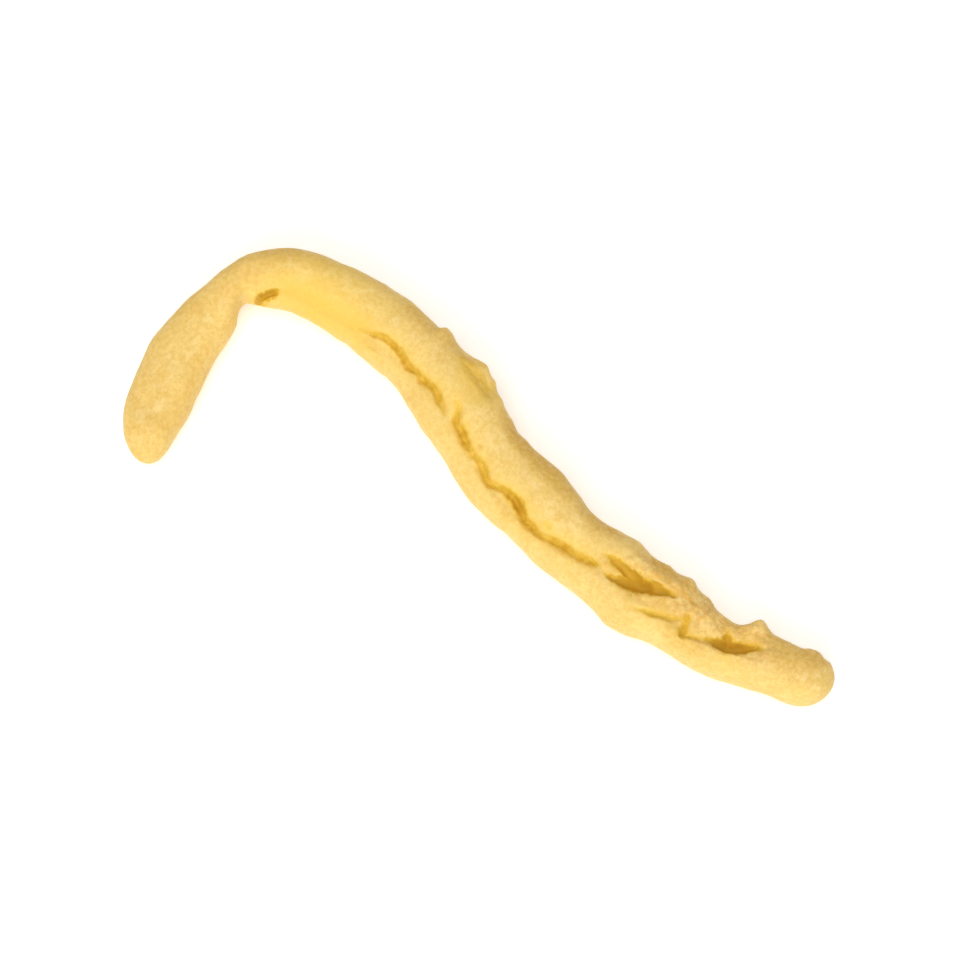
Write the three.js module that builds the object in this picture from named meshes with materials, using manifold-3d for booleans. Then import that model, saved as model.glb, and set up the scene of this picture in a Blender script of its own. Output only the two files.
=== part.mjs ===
// A dried spaetzle: one hand-scraped egg noodle, about 50 mm from end to end.
//
// The strand starts at a smooth rounded paddle, turns sharply over a bend and then runs on in a
// lazy S. From the bend onwards the dough is folded along its length: a high roll lies on the
// outer side, a lower lip on the inner side, and an open crack runs between them. Towards the
// far end the roll is torn open into a hollow and crumbles away, and the lip becomes the whole
// strand. The noodle is one piece of dough, so it is one solid.
//
// Units are millimetres. +X runs from the paddle to the far end, +Z is up, and the noodle lies
// on the plane Z = 0. The origin is under the middle of its bounding box.

import * as THREE from "three";
import { mergeVertices } from "three/addons/utils/BufferGeometryUtils.js";
import Module from "manifold-3d";

// ---------------------------------------------------------------- driving dimensions

// The middle line seen from above, from the paddle's tip to the far end, and how far the dough
// reaches from it to the outer side (left of the way along) and to the inner side (right).
const SECTIONS = [
  { x: -23.1, y: 1.0, outer: 2.4, inner: 2.3 },
  { x: -22.8, y: 3.8, outer: 2.4, inner: 2.3 },
  { x: -22.3, y: 5.4, outer: 2.4, inner: 2.3 },
  { x: -21.0, y: 8.4, outer: 2.4, inner: 2.35 },
  { x: -20.1, y: 9.8, outer: 2.3, inner: 2.2 },
  { x: -19.2, y: 11.1, outer: 2.1, inner: 2.12 },
  { x: -18.1, y: 12.3, outer: 1.85, inner: 1.8 },
  { x: -16.8, y: 13.2, outer: 2.0, inner: 0.95 },
  { x: -15.3, y: 13.8, outer: 2.25, inner: 1.6 },
  { x: -13.6, y: 14.0, outer: 2.5, inner: 1.95 },
  { x: -12.0, y: 13.8, outer: 2.5, inner: 2.1 },
  { x: -9.0, y: 12.5, outer: 2.5, inner: 2.5 },
  { x: -6.3, y: 10.6, outer: 2.8, inner: 2.55 },
  { x: -3.8, y: 8.4, outer: 2.5, inner: 2.7 },
  { x: -1.8, y: 5.8, outer: 2.75, inner: 3.0 },
  { x: 0.0, y: 2.9, outer: 2.7, inner: 2.92 },
  { x: 1.9, y: 0.2, outer: 2.8, inner: 3.1 },
  { x: 4.1, y: -2.2, outer: 3.0, inner: 2.9 },
  { x: 6.3, y: -4.5, outer: 2.6, inner: 2.78 },
  { x: 8.8, y: -6.6, outer: 2.78, inner: 2.62 },
  { x: 11.3, y: -8.5, outer: 2.7, inner: 3.02 },
  { x: 14.0, y: -10.3, outer: 2.6, inner: 2.4 },
  { x: 15.3, y: -11.2, outer: 2.2, inner: 2.4 },
  { x: 16.7, y: -12.0, outer: 1.9, inner: 2.4 },
  { x: 18.1, y: -12.6, outer: 1.8, inner: 2.2 },
  { x: 19.6, y: -13.2, outer: 2.1, inner: 2.1 },
  { x: 21.1, y: -13.7, outer: 1.9, inner: 2.1 },
  { x: 22.6, y: -14.2, outer: 1.7, inner: 2.25 },
  { x: 24.9, y: -14.65, outer: 1.85, inner: 1.95 },
];

// The lowest and highest point of the strand at places along it. lip is the share of its
// thickness that the lip lies lower than the roll.
const HEIGHTS = [
  { along: 0.0, base: -0.1, top: 3.4, lip: 0.0 },
  { along: 4.5, base: -0.15, top: 3.7, lip: 0.0 },
  { along: 8.5, base: 0.0, top: 4.0, lip: 0.0 },
  { along: 12.5, base: 0.5, top: 4.6, lip: 0.05 },
  { along: 16.0, base: 0.9, top: 5.1, lip: 0.35 },
  { along: 20.0, base: 0.4, top: 4.8, lip: 0.3 },
  { along: 24.0, base: -0.1, top: 4.6, lip: 0.25 },
  { along: 29.0, base: -0.15, top: 4.9, lip: 0.22 },
  { along: 33.0, base: 0.3, top: 5.2, lip: 0.2 },
  { along: 38.0, base: 0.4, top: 5.0, lip: 0.2 },
  { along: 43.0, base: 0.1, top: 4.9, lip: 0.16 },
  { along: 48.0, base: -0.1, top: 4.6, lip: 0.15 },
  { along: 53.0, base: -0.15, top: 4.6, lip: 0.05 },
  { along: 57.0, base: -0.15, top: 4.4, lip: 0.0 },
  { along: 61.0, base: -0.1, top: 4.0, lip: 0.0 },
  { along: 64.0, base: -0.1, top: 4.1, lip: 0.0 },
  { along: 66.9, base: 0.1, top: 4.0, lip: 0.0 },
];

// The valley that the fold leaves on top: across is its place left (+) or right (-) of the
// middle line, and depth is a share of the upper half's height.
const VALLEY = [
  { along: 0.0, across: -2.0, depth: 0.0 },
  { along: 14.0, across: -0.8, depth: 0.0 },
  { along: 17.5, across: -0.8, depth: 0.18 },
  { along: 22.0, across: -1.4, depth: 0.2 },
  { along: 30.0, across: -1.3, depth: 0.16 },
  { along: 34.0, across: -1.1, depth: 0.14 },
  { along: 39.5, across: -1.5, depth: 0.16 },
  { along: 44.0, across: -1.5, depth: 0.16 },
  { along: 49.0, across: -0.5, depth: 0.12 },
  { along: 54.0, across: -0.6, depth: 0.1 },
  { along: 58.0, across: -0.4, depth: 0.14 },
  { along: 62.0, across: 0.8, depth: 0.08 },
  { along: 66.9, across: 1.0, depth: 0.0 },
];

// Crags that stand out of the skin, and dents that go in. angle says where on the section
// they are (0 is the outer side, 90 the top, 180 the inner side) and spread how far round it they
// reach, in degrees. before and after are how far they reach along the strand. blunt is 2 for a
// smooth swelling, less for a pointed one and more for one with a flat top.
const CRAGS = [
  { along: 14.5, before: 0.4, after: 0.3, angle: 180, spread: 60, rise: -0.22, blunt: 1.2 },
  { along: 23.6, before: 0.8, after: 0.8, angle: 180, spread: 30, rise: -0.1, blunt: 2.0 },
  { along: 28.9, before: 0.3, after: 0.8, angle: 20, spread: 30, rise: 0.45, blunt: 2.5 },
  { along: 32.4, before: 1.2, after: 1.0, angle: 22, spread: 26, rise: 0.75, blunt: 1.5 },
  { along: 33.5, before: 0.4, after: 0.5, angle: 16, spread: 20, rise: 0.3, blunt: 1.5 },
  { along: 34.8, before: 0.6, after: 0.9, angle: 20, spread: 30, rise: 0.25, blunt: 1.5 },
  { along: 37.5, before: 0.8, after: 0.8, angle: 15, spread: 35, rise: -0.2, blunt: 2.0 },
  { along: 49.8, before: 1.0, after: 1.2, angle: 20, spread: 30, rise: 0.25, blunt: 1.5 },
  { along: 51.2, before: 1.6, after: 2.4, angle: 60, spread: 15, rise: 0.3, blunt: 1.5 },
  { along: 51.2, before: 1.0, after: 0.5, angle: 180, spread: 30, rise: 0.15, blunt: 1.5 },
  { along: 52.8, before: 0.7, after: 0.8, angle: 25, spread: 30, rise: 0.25, blunt: 1.5 },
  { along: 53.5, before: 0.9, after: 0.9, angle: 180, spread: 30, rise: -0.17, blunt: 2.0 },
  { along: 54.6, before: 0.8, after: 0.6, angle: 25, spread: 35, rise: 0.37, blunt: 2.0 },
  { along: 56.5, before: 0.4, after: 0.35, angle: 22, spread: 25, rise: 0.12, blunt: 2.0 },
  { along: 57.3, before: 0.8, after: 0.8, angle: 75, spread: 20, rise: 0.2, blunt: 1.5 },
  { along: 60.6, before: 0.8, after: 0.9, angle: 24, spread: 28, rise: 0.9, blunt: 2.0 },
  { along: 65.4, before: 0.9, after: 0.5, angle: 15, spread: 32, rise: 0.28, blunt: 3.0 },
  { along: 66.3, before: 0.25, after: 0.35, angle: 30, spread: 30, rise: 0.12, blunt: 2.0 },
];

// Cracks that the tearing dough left on top, each a path with the crack's width and its depth
// below the skin. floor is how much of its width it keeps at the bottom, and lean how far the
// bottom slants under the roll, as a share of the depth.
const CRACKS = {
  gapUnderBend: {
    floor: 0.6,
    lean: 0.2,
    path: [
      { along: 14.3, across: -1.44, width: 0.46, depth: 0.7 },
      { along: 14.9, across: -1.44, width: 0.58, depth: 0.8 },
      { along: 15.5, across: -1.36, width: 0.63, depth: 0.9 },
      { along: 16.0, across: -1.27, width: 0.63, depth: 0.9 },
      { along: 16.6, across: -1.16, width: 0.55, depth: 0.8 },
      { along: 17.0, across: -1.05, width: 0.37, depth: 0.5 },
      { along: 17.3, across: -0.95, width: 0.13, depth: 0.2 },
    ],
  },
  firstStretch: {
    floor: 0.5,
    lean: 0.2,
    path: [
      { along: 24.2, across: -1.3, width: 0.12, depth: 0.2 },
      { along: 25.2, across: -1.19, width: 0.27, depth: 0.5 },
      { along: 26.2, across: -0.89, width: 0.35, depth: 0.7 },
      { along: 27.2, across: -0.89, width: 0.43, depth: 0.8 },
      { along: 28.1, across: -1.04, width: 0.47, depth: 0.9 },
      { along: 29.2, across: -1.29, width: 0.39, depth: 0.8 },
      { along: 30.2, across: -1.14, width: 0.39, depth: 0.8 },
      { along: 31.0, across: -1.14, width: 0.41, depth: 0.8 },
      { along: 31.8, across: -0.94, width: 0.39, depth: 0.8 },
      { along: 32.8, across: -1.09, width: 0.35, depth: 0.7 },
      { along: 33.9, across: -1.3, width: 0.12, depth: 0.2 },
    ],
  },
  secondStretch: {
    floor: 0.5,
    lean: 0.2,
    path: [
      { along: 33.0, across: -0.2, width: 0.12, depth: 0.2 },
      { along: 34.0, across: -0.34, width: 0.31, depth: 0.6 },
      { along: 34.6, across: -0.84, width: 0.43, depth: 0.8 },
      { along: 35.6, across: -0.98, width: 0.47, depth: 0.9 },
      { along: 37.0, across: -1.19, width: 0.35, depth: 0.7 },
      { along: 38.0, across: -1.14, width: 0.39, depth: 0.8 },
      { along: 39.4, across: -1.49, width: 0.35, depth: 0.7 },
      { along: 40.4, across: -1.09, width: 0.39, depth: 0.8 },
      { along: 41.8, across: -1.08, width: 0.55, depth: 1.0 },
      { along: 43.0, across: -1.49, width: 0.47, depth: 0.9 },
      { along: 44.4, across: -1.39, width: 0.35, depth: 0.7 },
      { along: 45.5, across: -1.04, width: 0.43, depth: 0.8 },
      { along: 46.4, across: -0.84, width: 0.45, depth: 0.9 },
      { along: 47.2, across: -0.74, width: 0.39, depth: 0.8 },
      { along: 48.2, across: -0.54, width: 0.31, depth: 0.6 },
      { along: 49.1, across: -0.3, width: 0.12, depth: 0.2 },
    ],
  },
  hollow: {
    floor: 0.7,
    lean: 0.1,
    path: [
      { along: 49.2, across: -0.6, width: 0.12, depth: 0.2 },
      { along: 49.8, across: -0.55, width: 0.32, depth: 0.5 },
      { along: 50.5, across: -0.4, width: 0.48, depth: 0.7 },
      { along: 51.2, across: -0.12, width: 0.76, depth: 1.1 },
      { along: 52.0, across: 0.24, width: 0.88, depth: 1.3 },
      { along: 52.8, across: 0.51, width: 0.64, depth: 0.9 },
      { along: 53.5, across: 0.65, width: 0.5, depth: 0.7 },
      { along: 54.0, across: 0.8, width: 0.4, depth: 0.6 },
      { along: 54.25, across: 0.85, width: 0.24, depth: 0.3 },
    ],
  },
  hollowProng: {
    floor: 0.7,
    lean: 0.1,
    path: [
      { along: 48.6, across: 0.45, width: 0.13, depth: 0.2 },
      { along: 49.3, across: 0.49, width: 0.45, depth: 0.5 },
      { along: 50.1, across: 0.45, width: 0.59, depth: 0.7 },
      { along: 50.9, across: 0.36, width: 0.76, depth: 0.8 },
      { along: 51.7, across: 0.28, width: 0.85, depth: 0.9 },
    ],
  },
  belowHollow: {
    floor: 0.5,
    lean: 0.2,
    path: [
      { along: 52.0, across: -1.5, width: 0.12, depth: 0.2 },
      { along: 52.9, across: -1.25, width: 0.21, depth: 0.3 },
      { along: 53.6, across: -1.05, width: 0.29, depth: 0.5 },
      { along: 54.2, across: -0.82, width: 0.28, depth: 0.4 },
      { along: 54.8, across: -0.62, width: 0.32, depth: 0.5 },
      { along: 55.3, across: -0.3, width: 0.28, depth: 0.4 },
      { along: 55.8, across: 0.1, width: 0.29, depth: 0.5 },
    ],
  },
  stepDown: {
    floor: 0.5,
    lean: 0.0,
    path: [
      { along: 55.8, across: 0.15, width: 0.34, depth: 0.5 },
      { along: 56.0, across: -0.45, width: 0.38, depth: 0.6 },
      { along: 56.2, across: -1.1, width: 0.38, depth: 0.6 },
    ],
  },
  pit: {
    floor: 0.6,
    lean: 0.2,
    path: [
      { along: 56.1, across: -1.08, width: 0.36, depth: 0.5 },
      { along: 56.8, across: -0.85, width: 0.27, depth: 0.3 },
      { along: 57.4, across: -0.61, width: 0.29, depth: 0.4 },
      { along: 58.0, across: -0.42, width: 0.38, depth: 0.5 },
      { along: 58.6, across: -0.28, width: 0.62, depth: 0.8 },
      { along: 59.3, across: -0.19, width: 0.86, depth: 1.1 },
      { along: 59.9, across: 0.02, width: 0.72, depth: 0.9 },
      { along: 60.5, across: 0.21, width: 0.58, depth: 0.7 },
      { along: 61.0, across: 0.44, width: 0.4, depth: 0.5 },
      { along: 61.5, across: 0.68, width: 0.14, depth: 0.2 },
    ],
  },
  pitNotch: {
    floor: 0.5,
    lean: 0.0,
    path: [
      { along: 58.8, across: 0.95, width: 0.13, depth: 0.2 },
      { along: 58.85, across: 0.72, width: 0.28, depth: 0.4 },
      { along: 58.95, across: 0.42, width: 0.48, depth: 0.6 },
      { along: 59.1, across: 0.05, width: 0.7, depth: 0.9 },
    ],
  },
  behindFlap: {
    floor: 0.4,
    lean: 0.0,
    path: [
      { along: 31.5, across: 1.81, width: 0.34, depth: 0.2 },
      { along: 32.3, across: 1.9, width: 0.91, depth: 0.2 },
      { along: 33.0, across: 2.02, width: 1.14, depth: 0.3 },
      { along: 33.8, across: 2.17, width: 1.14, depth: 0.3 },
      { along: 34.6, across: 2.41, width: 0.34, depth: 0.2 },
    ],
  },
};

// Gentle swellings: waves that wind round the strand. share is each one's share of LUMP_HEIGHT,
// along its turns for each millimetre, in radians, around its waves in a section, and start its
// angle at the paddle's tip.
const LUMPS = [
  { share: 0.5, along: 0.9, around: 1, start: 0 },
  { share: 0.3, along: 1.7, around: -2, start: 1 },
  { share: 0.2, along: 3.1, around: 3, start: 2 },
];
const LUMP_HEIGHT = 0.07;

const PADDLE_TIP_LENGTH = 5.4; // how long the paddle takes to round off, seen from above
const PADDLE_TIP_RISE = 2.6; // and how long it takes to rise to its full height
const FAR_END_LENGTH = 2.4; // the same at the far end
const TOP_SQUARENESS = 2.5; // 2 is an ellipse, more is boxier
const BOTTOM_SQUARENESS = 2.5;
const VALLEY_LIP_SIDE = 0.45; // how wide the valley is towards the lip
const VALLEY_ROLL_SIDE = 1.1; // and towards the roll
const LIP_STEP = 0.9; // how wide the step down to the lip is
const CRACK_LIFT = 0.7; // how far a crack's cut reaches above the skin
const CRACK_MOUTH = 0.6; // half its width up there, as a share of the crack's width
const CRACK_CORNER = 0.8; // how deep the corners of its bottom lie, as a share of its depth

// The block below the plane that the noodle lies on. It is larger than the noodle every way.
const GROUND = { length: 80, width: 60, depth: 4 };

// ---------------------------------------------------------------- fineness

// Spacing of the sections along the strand: wider on the smooth paddle, closer on the crags.
const RING_STEPS = [
  { until: 13.6, step: 0.8 },
  { until: 16.0, step: 0.4 },
  { until: 27.5, step: 0.75 },
  { until: 36.0, step: 0.5 },
  { until: 48.0, step: 0.75 },
  { until: 62.0, step: 0.4 },
  { until: 66.5, step: 0.5 },
];
const END_RINGS = [0.02, 0.1, 0.25]; // how far from each end the first sections lie
const TOP_SIDES = 22;
const BOTTOM_SIDES = 10;
const TANGENT_STEP = 0.05; // how far ahead and behind the middle line's direction is taken
const MERGE_WITHIN = 1e-4; // points closer than this are one

const DOUGH = { color: 0xf2cf7e, roughness: 0.62, metalness: 0.0 };

// ---------------------------------------------------------------- reading the tables

// Gives every section its distance along the middle line.
function measured(sections) {
  let along = 0;
  return sections.map((section, i) => {
    if (i > 0) {
      const before = sections[i - 1];
      along += Math.hypot(section.x - before.x, section.y - before.y);
    }
    return { ...section, along };
  });
}

// One column of a table at a distance along the strand, on a smooth curve through its rows.
function read(table, column, along) {
  const last = table.length - 1;
  const place = Math.min(Math.max(along, table[0].along), table[last].along);
  let i = 0;
  while (i < last - 1 && place > table[i + 1].along) i += 1;
  const slope = (k) => {
    const a = table[Math.max(k - 1, 0)];
    const b = table[Math.min(k + 1, last)];
    return (b[column] - a[column]) / (b.along - a.along);
  };
  const span = table[i + 1].along - table[i].along;
  const t = (place - table[i].along) / span;
  const keep = 2 * t ** 3 - 3 * t ** 2 + 1;
  return (
    keep * table[i][column] +
    (1 - keep) * table[i + 1][column] +
    (t ** 3 - 2 * t ** 2 + t) * span * slope(i) +
    (t ** 3 - t ** 2) * span * slope(i + 1)
  );
}

const STRAND = measured(SECTIONS);
const LENGTH = STRAND[STRAND.length - 1].along;

// The middle line's place and its left-hand side, seen from above.
function middle(along) {
  const ahead = Math.min(along + TANGENT_STEP, LENGTH);
  const behind = Math.max(along - TANGENT_STEP, 0);
  const dx = read(STRAND, "x", ahead) - read(STRAND, "x", behind);
  const dy = read(STRAND, "y", ahead) - read(STRAND, "y", behind);
  const run = Math.hypot(dx, dy);
  return {
    x: read(STRAND, "x", along),
    y: read(STRAND, "y", along),
    leftX: -dy / run,
    leftY: dx / run,
  };
}

// The share of its full size that the strand has at its rounded ends.
function rounding(along, tip = PADDLE_TIP_LENGTH) {
  const quarter = (distance, length) => {
    const t = Math.min(Math.max(distance / length, 0), 1);
    return Math.sqrt(1 - (1 - t) ** 2);
  };
  return quarter(along, tip) * quarter(LENGTH - along, FAR_END_LENGTH);
}

// ---------------------------------------------------------------- the strand's skin

// The valley and the step down to the lip, as a share of the upper half's height.
function fold(along, across) {
  const from = across - read(VALLEY, "across", along);
  const side = from < 0 ? VALLEY_LIP_SIDE : VALLEY_ROLL_SIDE;
  const valley = read(VALLEY, "depth", along) * Math.exp(-((from / side) ** 2));
  const step = THREE.MathUtils.smoothstep(-from, -LIP_STEP, LIP_STEP);
  return (1 - valley) * (1 - read(HEIGHTS, "lip", along) * step);
}

// How far the gentle swellings stand out of the skin.
function lumps(along, angle) {
  let waves = 0;
  for (const wave of LUMPS) {
    waves += wave.share * Math.sin(wave.along * along + wave.around * angle + wave.start);
  }
  return LUMP_HEIGHT * rounding(along) * waves;
}

// How far the crags stand out of the skin.
function crags(along, angle) {
  const peak = (distance, reach, blunt) => Math.exp(-(Math.abs(distance / reach) ** blunt));
  let rise = 0;
  for (const crag of CRAGS) {
    const past = along - crag.along;
    const reach = past < 0 ? crag.before : crag.after;
    const turned = THREE.MathUtils.radToDeg(angle) - crag.angle;
    const around = turned > 180 ? turned - 360 : turned;
    rise += crag.rise * peak(past, reach, crag.blunt) * peak(around, crag.spread, crag.blunt);
  }
  return rise;
}

// A point of the skin. angle goes round the section: 0 is the outer side, a quarter turn is the
// top and a half turn is the inner side.
function skin(along, angle) {
  const size = rounding(along);
  const outer = read(STRAND, "outer", along);
  const inner = read(STRAND, "inner", along);
  const low = read(HEIGHTS, "base", along);
  const high = read(HEIGHTS, "top", along);
  const squareness = Math.sin(angle) > 0 ? TOP_SQUARENESS : BOTTOM_SQUARENESS;
  const round = (v) => Math.sign(v) * Math.abs(v) ** (2 / squareness);
  let across = (outer - inner) / 2 + ((outer + inner) / 2) * round(Math.cos(angle)) * size;
  let rise = ((high - low) / 2) * round(Math.sin(angle)) * rounding(along, PADDLE_TIP_RISE);
  if (rise > 0) rise *= fold(along, across);
  const swell = crags(along, angle) + lumps(along, angle);
  across += swell * Math.cos(angle);
  rise += swell * Math.sin(angle);
  return { across, height: (low + high) / 2 + rise };
}

// The skin's height above a point between the outer and the inner side.
function topHeight(along, across) {
  const outer = read(STRAND, "outer", along);
  const inner = read(STRAND, "inner", along);
  const low = read(HEIGHTS, "base", along);
  const high = read(HEIGHTS, "top", along);
  const out = Math.min(Math.abs((2 * across - outer + inner) / (outer + inner)), 1);
  const rise = ((high - low) / 2) * (1 - out ** TOP_SQUARENESS) ** (1 / TOP_SQUARENESS);
  return (low + high) / 2 + rise * fold(along, across);
}

function place(along, across, height) {
  const m = middle(along);
  return [m.x + m.leftX * across, m.y + m.leftY * across, height];
}

// Angles round a section, closer together on the top half than below.
function sectionAngles() {
  const angles = [];
  for (let k = 0; k < TOP_SIDES; k += 1) angles.push((k / TOP_SIDES) * Math.PI);
  for (let k = 0; k < BOTTOM_SIDES; k += 1) angles.push((1 + k / BOTTOM_SIDES) * Math.PI);
  return angles;
}

// Distances along the strand, closest together where it rounds off at its ends.
function ringPlaces() {
  const places = [...END_RINGS];
  let from = 0;
  for (const { until, step } of RING_STEPS) {
    const count = Math.round((until - from) / step);
    for (let i = 1; i <= count; i += 1) places.push(from + ((until - from) * i) / count);
    from = until;
  }
  return [...places, ...END_RINGS.map((d) => LENGTH - d).reverse()];
}

// Closes a row of rings into one surface, with a single point at each end.
function closedSurface(rings, first, last) {
  const sides = rings[0].length;
  const points = [...rings.flat(), first, last];
  const firstPole = points.length - 2;
  const lastPole = points.length - 1;
  const lastRing = (rings.length - 1) * sides;
  const indices = [];
  for (let k = 0; k < sides; k += 1) {
    const next = (k + 1) % sides;
    indices.push(firstPole, next, k);
    indices.push(lastPole, lastRing + k, lastRing + next);
    for (let ring = 0; ring < lastRing; ring += sides) {
      indices.push(ring + k, ring + next, ring + sides + k);
      indices.push(ring + next, ring + sides + next, ring + sides + k);
    }
  }
  const geometry = new THREE.BufferGeometry();
  geometry.setAttribute("position", new THREE.Float32BufferAttribute(points.flat(), 3));
  geometry.setIndex(indices);
  return geometry;
}

function strandGeometry() {
  const angles = sectionAngles();
  const rings = ringPlaces().map((along) =>
    angles.map((angle) => {
      const s = skin(along, angle);
      return place(along, s.across, s.height);
    }),
  );
  const pole = (along) => {
    const across = (read(STRAND, "outer", along) - read(STRAND, "inner", along)) / 2;
    const height = (read(HEIGHTS, "base", along) + read(HEIGHTS, "top", along)) / 2;
    return place(along, across, height);
  };
  return closedSurface(rings, pole(0), pole(LENGTH));
}

// ---------------------------------------------------------------- cracks

// The space that a crack takes out of the dough: a thin blade that follows its path, wide at
// the top and narrow at its leaning bottom, and pointed at both ends.
function crackGeometry({ floor, lean, path }) {
  const centres = path.map(({ along, across }) => {
    const [x, y, z] = place(along, across, topHeight(along, across));
    return new THREE.Vector3(x, y, z);
  });
  const last = path.length - 1;
  const rings = path.map(({ width, depth }, i) => {
    const ahead = centres[Math.min(i + 1, last)];
    const behind = centres[Math.max(i - 1, 0)];
    const left = new THREE.Vector3(behind.y - ahead.y, ahead.x - behind.x, 0).normalize();
    const corner = (sideways, height) => {
      const c = centres[i];
      return [c.x + left.x * sideways, c.y + left.y * sideways, c.z + height];
    };
    const slant = lean * depth;
    return [
      corner(CRACK_MOUTH * width, CRACK_LIFT),
      corner(-CRACK_MOUTH * width, CRACK_LIFT),
      corner(-width / 2, 0),
      corner((-floor * width) / 2 + slant, -CRACK_CORNER * depth),
      corner(slant, -depth),
      corner((floor * width) / 2 + slant, -CRACK_CORNER * depth),
      corner(width / 2, 0),
    ];
  });
  const tip = (end, next) => {
    const out = centres[end].clone().sub(centres[next]).setLength(path[end].width);
    return centres[end].clone().add(out).toArray();
  };
  return closedSurface(rings, tip(0, 1), tip(last, last - 1));
}

// ---------------------------------------------------------------- joining

const wasm = await Module();
wasm.setup();

function solidOf(geometry) {
  const bare = geometry.clone();
  bare.deleteAttribute("normal");
  bare.deleteAttribute("uv");
  const merged = mergeVertices(bare, MERGE_WITHIN);
  const mesh = new wasm.Mesh({
    numProp: 3,
    vertProperties: merged.attributes.position.array,
    triVerts: new Uint32Array(merged.index.array),
  });
  return new wasm.Manifold(mesh);
}

function geometryOf(solid) {
  const mesh = solid.getMesh();
  const geometry = new THREE.BufferGeometry();
  geometry.setAttribute("position", new THREE.BufferAttribute(mesh.vertProperties, 3));
  geometry.setIndex(new THREE.BufferAttribute(mesh.triVerts, 1));
  geometry.computeVertexNormals();
  return geometry;
}

// Everything below the plane that the noodle lies on, so that it rests on small flat spots.
function ground() {
  const block = new THREE.BoxGeometry(GROUND.length, GROUND.width, GROUND.depth);
  block.translate(0, 0, -GROUND.depth / 2);
  return solidOf(block);
}

function noodleMesh() {
  let dough = solidOf(strandGeometry()).subtract(ground());
  for (const crack of Object.values(CRACKS)) dough = dough.subtract(solidOf(crackGeometry(crack)));
  const mesh = new THREE.Mesh(geometryOf(dough), new THREE.MeshStandardMaterial(DOUGH));
  mesh.name = "noodle";
  return mesh;
}

const spaetzle = new THREE.Group();
spaetzle.add(noodleMesh());

export default spaetzle;
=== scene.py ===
# %% [markdown]
# # A dried spaetzle
#
# The real thing is one egg noodle, about 50 mm long. Wet dough was scraped off a board, so the
# strand starts with a smooth paddle, turns sharply, and then runs on folded along its length: a
# high roll on the outer side, a lower lip on the inner side, and an open crack between them.
# This lesson builds it in the order a cook would see it: the strand, its cracks, the crumbly
# torn part, the fine relief of the dried skin, and last the colour of the dough.
#
# The fixed model of the noodle comes first. It says where everything is, and what is made here
# takes its place without moving or resizing it.

# %% Bring in Blender and the fixed model
import math

import bpy
import numpy as np
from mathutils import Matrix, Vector
from mathutils.kdtree import KDTree


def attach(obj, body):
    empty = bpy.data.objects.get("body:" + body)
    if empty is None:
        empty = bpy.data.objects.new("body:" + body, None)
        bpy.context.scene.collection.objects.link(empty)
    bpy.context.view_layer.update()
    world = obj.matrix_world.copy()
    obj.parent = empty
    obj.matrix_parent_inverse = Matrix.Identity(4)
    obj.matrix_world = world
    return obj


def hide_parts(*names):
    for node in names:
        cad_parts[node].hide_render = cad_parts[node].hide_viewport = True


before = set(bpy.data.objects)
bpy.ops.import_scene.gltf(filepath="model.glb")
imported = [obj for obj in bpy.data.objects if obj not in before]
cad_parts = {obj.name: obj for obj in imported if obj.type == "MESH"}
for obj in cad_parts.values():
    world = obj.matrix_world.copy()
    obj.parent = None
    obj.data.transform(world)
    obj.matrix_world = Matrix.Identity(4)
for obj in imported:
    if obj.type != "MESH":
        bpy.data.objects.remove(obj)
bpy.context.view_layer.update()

MM = 0.001

# %% [markdown]
# ## The camera
#
# The photo looks down on the noodle, a little from the front. A long lens from far away keeps
# the strand's near and far side the same width, as they are in the photo. The distance could be
# found by eye. It is worked out instead from how wide the view is at the noodle.

# %% Place the camera
VIEW_WIDTH = 66.92 * MM
VIEW_TARGET = Vector((0.2, -0.2, 2.4)) * MM
VIEW_ELEVATION = math.radians(75)
LENS = 140
SENSOR = 36
NEAR_CLIP = 10 * MM


def make_camera():
    """A camera that looks down on the noodle from the front."""
    data = bpy.data.cameras.new("camera")
    data.lens = LENS
    data.sensor_width = SENSOR
    data.clip_start = NEAR_CLIP
    camera = bpy.data.objects.new("camera", data)
    bpy.context.scene.collection.objects.link(camera)
    back = Vector((0, -math.cos(VIEW_ELEVATION), math.sin(VIEW_ELEVATION)))
    camera.location = VIEW_TARGET + back * (VIEW_WIDTH * LENS / SENSOR)
    camera.rotation_euler = (-back).to_track_quat("-Z", "Y").to_euler()
    bpy.context.scene.camera = camera
    return camera


camera = make_camera()
print("camera height, mm:", round(camera.location.z / MM, 1))

# %% [markdown]
# ## The sizes of the strand
#
# A strand of dough is easiest to describe along its middle line: where the line runs, how far
# the dough reaches to its outer and its inner side, and how low and how high it is. These are
# the same driving sizes as in the fixed model, in millimetres, so both have the same form. They
# could be one long list of points, but then no row would say what it is for. Each table becomes
# one array for each column.

# %% Turn a table into columns


def columns(names, *rows):
    """A table as one array for each named column."""
    return dict(zip(names.split(), np.array(rows, float).T))


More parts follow.
